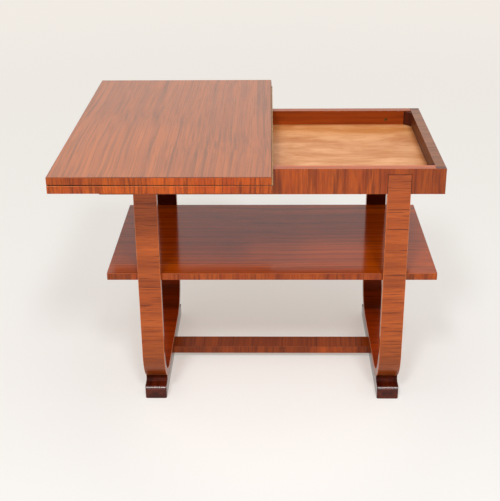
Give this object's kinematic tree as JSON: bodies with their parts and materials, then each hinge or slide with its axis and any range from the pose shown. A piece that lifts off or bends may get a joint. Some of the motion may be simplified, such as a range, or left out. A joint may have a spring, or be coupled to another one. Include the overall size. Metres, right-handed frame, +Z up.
{
  "type": "folding card table",
  "caption": "Card table with a folded top that swivels a quarter turn and opens flat, over a shallow card well, bent end frames, a shelf and a low stretcher.",
  "frame": {"origin": "centre of the footprint of the whole table as pictured, on the floor", "axes": "+X along the box towards the open half of the well, +Y from front to back, +Z up"},
  "size_m": [0.928, 0.84, 0.696],
  "materials": {
    "walnut_veneer": "polished walnut veneer",
    "crossband_veneer": "polished crossbanded veneer",
    "dark_wood": "gloss, stained nearly black",
    "inside_wood": "satin stained wood",
    "floor_ply": "satin pale plywood",
    "plain_wood": "bare beech",
    "baize": "green baize",
    "brass": "aged brass",
    "steel": "plain steel"
  },
  "bodies": {
    "base": {"left_base_rail": "dark_wood", "right_base_rail": "dark_wood", "left_end_frame": "crossband_veneer", "right_end_frame": "crossband_veneer", "stretcher": "walnut_veneer", "shelf": "walnut_veneer", "front_apron": "crossband_veneer", "back_apron": "crossband_veneer", "left_apron": "crossband_veneer", "right_apron": "crossband_veneer", "well_floor": "floor_ply", "corner_block_front_left": "inside_wood", "corner_block_front_right": "inside_wood", "corner_block_back_left": "inside_wood", "corner_block_back_right": "inside_wood", "pivot_bearer": "plain_wood", "lap_screws_front_left": "steel", "lap_screws_front_right": "steel", "lap_screws_back_left": "steel", "lap_screws_back_right": "steel", "rail_screws_left": "steel", "rail_screws_right": "steel", "shelf_dowels_left": "plain_wood", "shelf_dowels_right": "plain_wood", "stretcher_dowels_left": "plain_wood", "stretcher_dowels_right": "plain_wood"},
    "lower_top": {"lower_leaf": "walnut_veneer", "lower_baize": "baize", "pivot_plate": "steel", "pivot_plate_screws": "steel", "pivot_bolt": "steel", "pivot_spacer": "brass", "pivot_washer": "steel", "pivot_nut": "steel", "stop_peg": "plain_wood", "hinge_lower_plate": "brass", "hinge_pin": "steel"},
    "upper_top": {"upper_leaf": "walnut_veneer", "upper_baize": "baize", "hinge_upper_plate": "brass"}
  },
  "joints": [
    {"name": "top_swivel", "type": "hinge", "parent": "base", "child": "lower_top", "pos_m": [-0.083, 0.127, 0.656], "axis": [0, 0, 1], "range_deg": [0, 90]},
    {"name": "leaf_fold", "type": "hinge", "parent": "lower_top", "child": "upper_top", "pos_m": [0.0449, 0, 0.6762], "axis": [0, 1, 0], "range_deg": [0, 180]}
  ]
}
